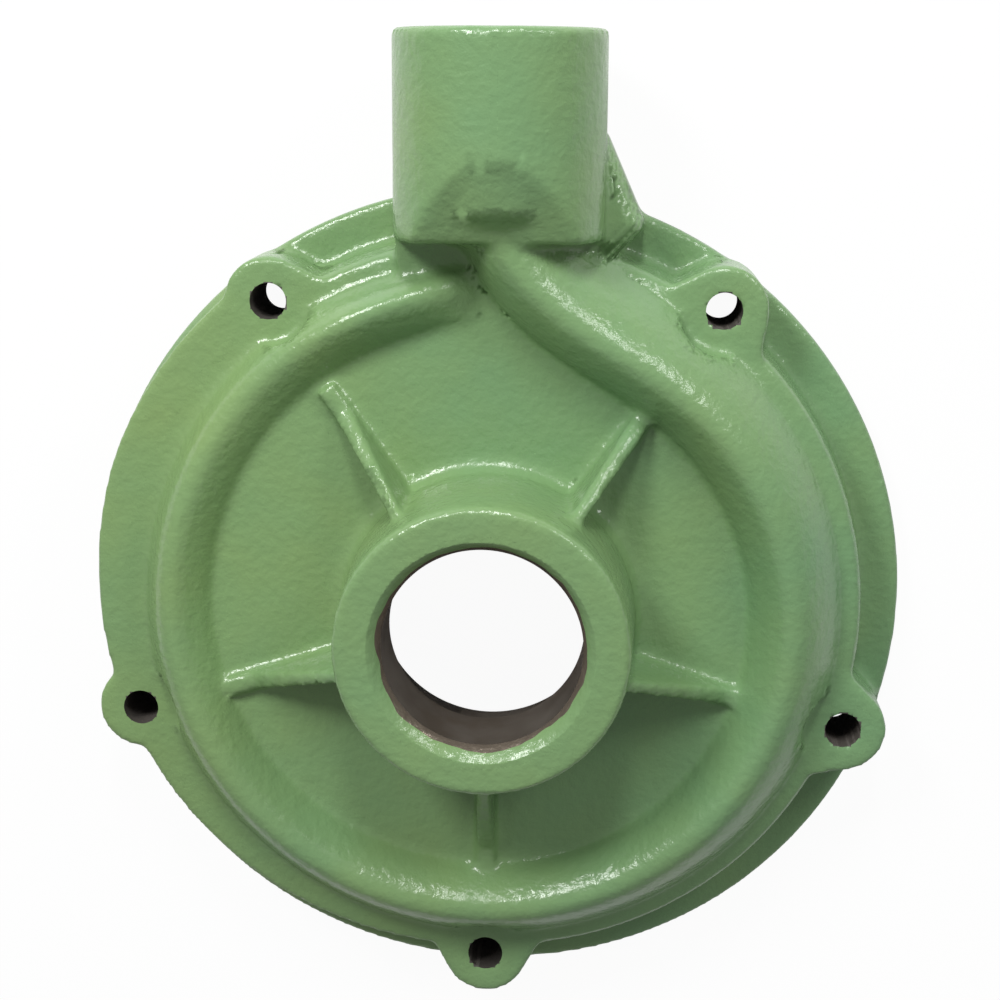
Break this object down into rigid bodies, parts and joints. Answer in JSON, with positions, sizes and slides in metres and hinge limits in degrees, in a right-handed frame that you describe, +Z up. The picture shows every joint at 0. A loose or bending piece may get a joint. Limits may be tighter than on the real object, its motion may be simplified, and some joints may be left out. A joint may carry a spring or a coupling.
{
  "type": "volute pump casing",
  "caption": "Green-painted cast iron volute casing of a small centrifugal pump, with a flanged back, a ribbed suction hub and a discharge branch.",
  "frame": {"origin": "where the suction axis meets the rear mating face", "axes": "+Z up the suction axis to the hub's nose, +Y the way the water leaves through the discharge branch, +X to the right seen from the suction side"},
  "size_m": [0.2, 0.237, 0.0584],
  "materials": {
    "casting": "gloss"
  },
  "bodies": {
    "root": {"volute_casing": "casting"}
  },
  "joints": []
}
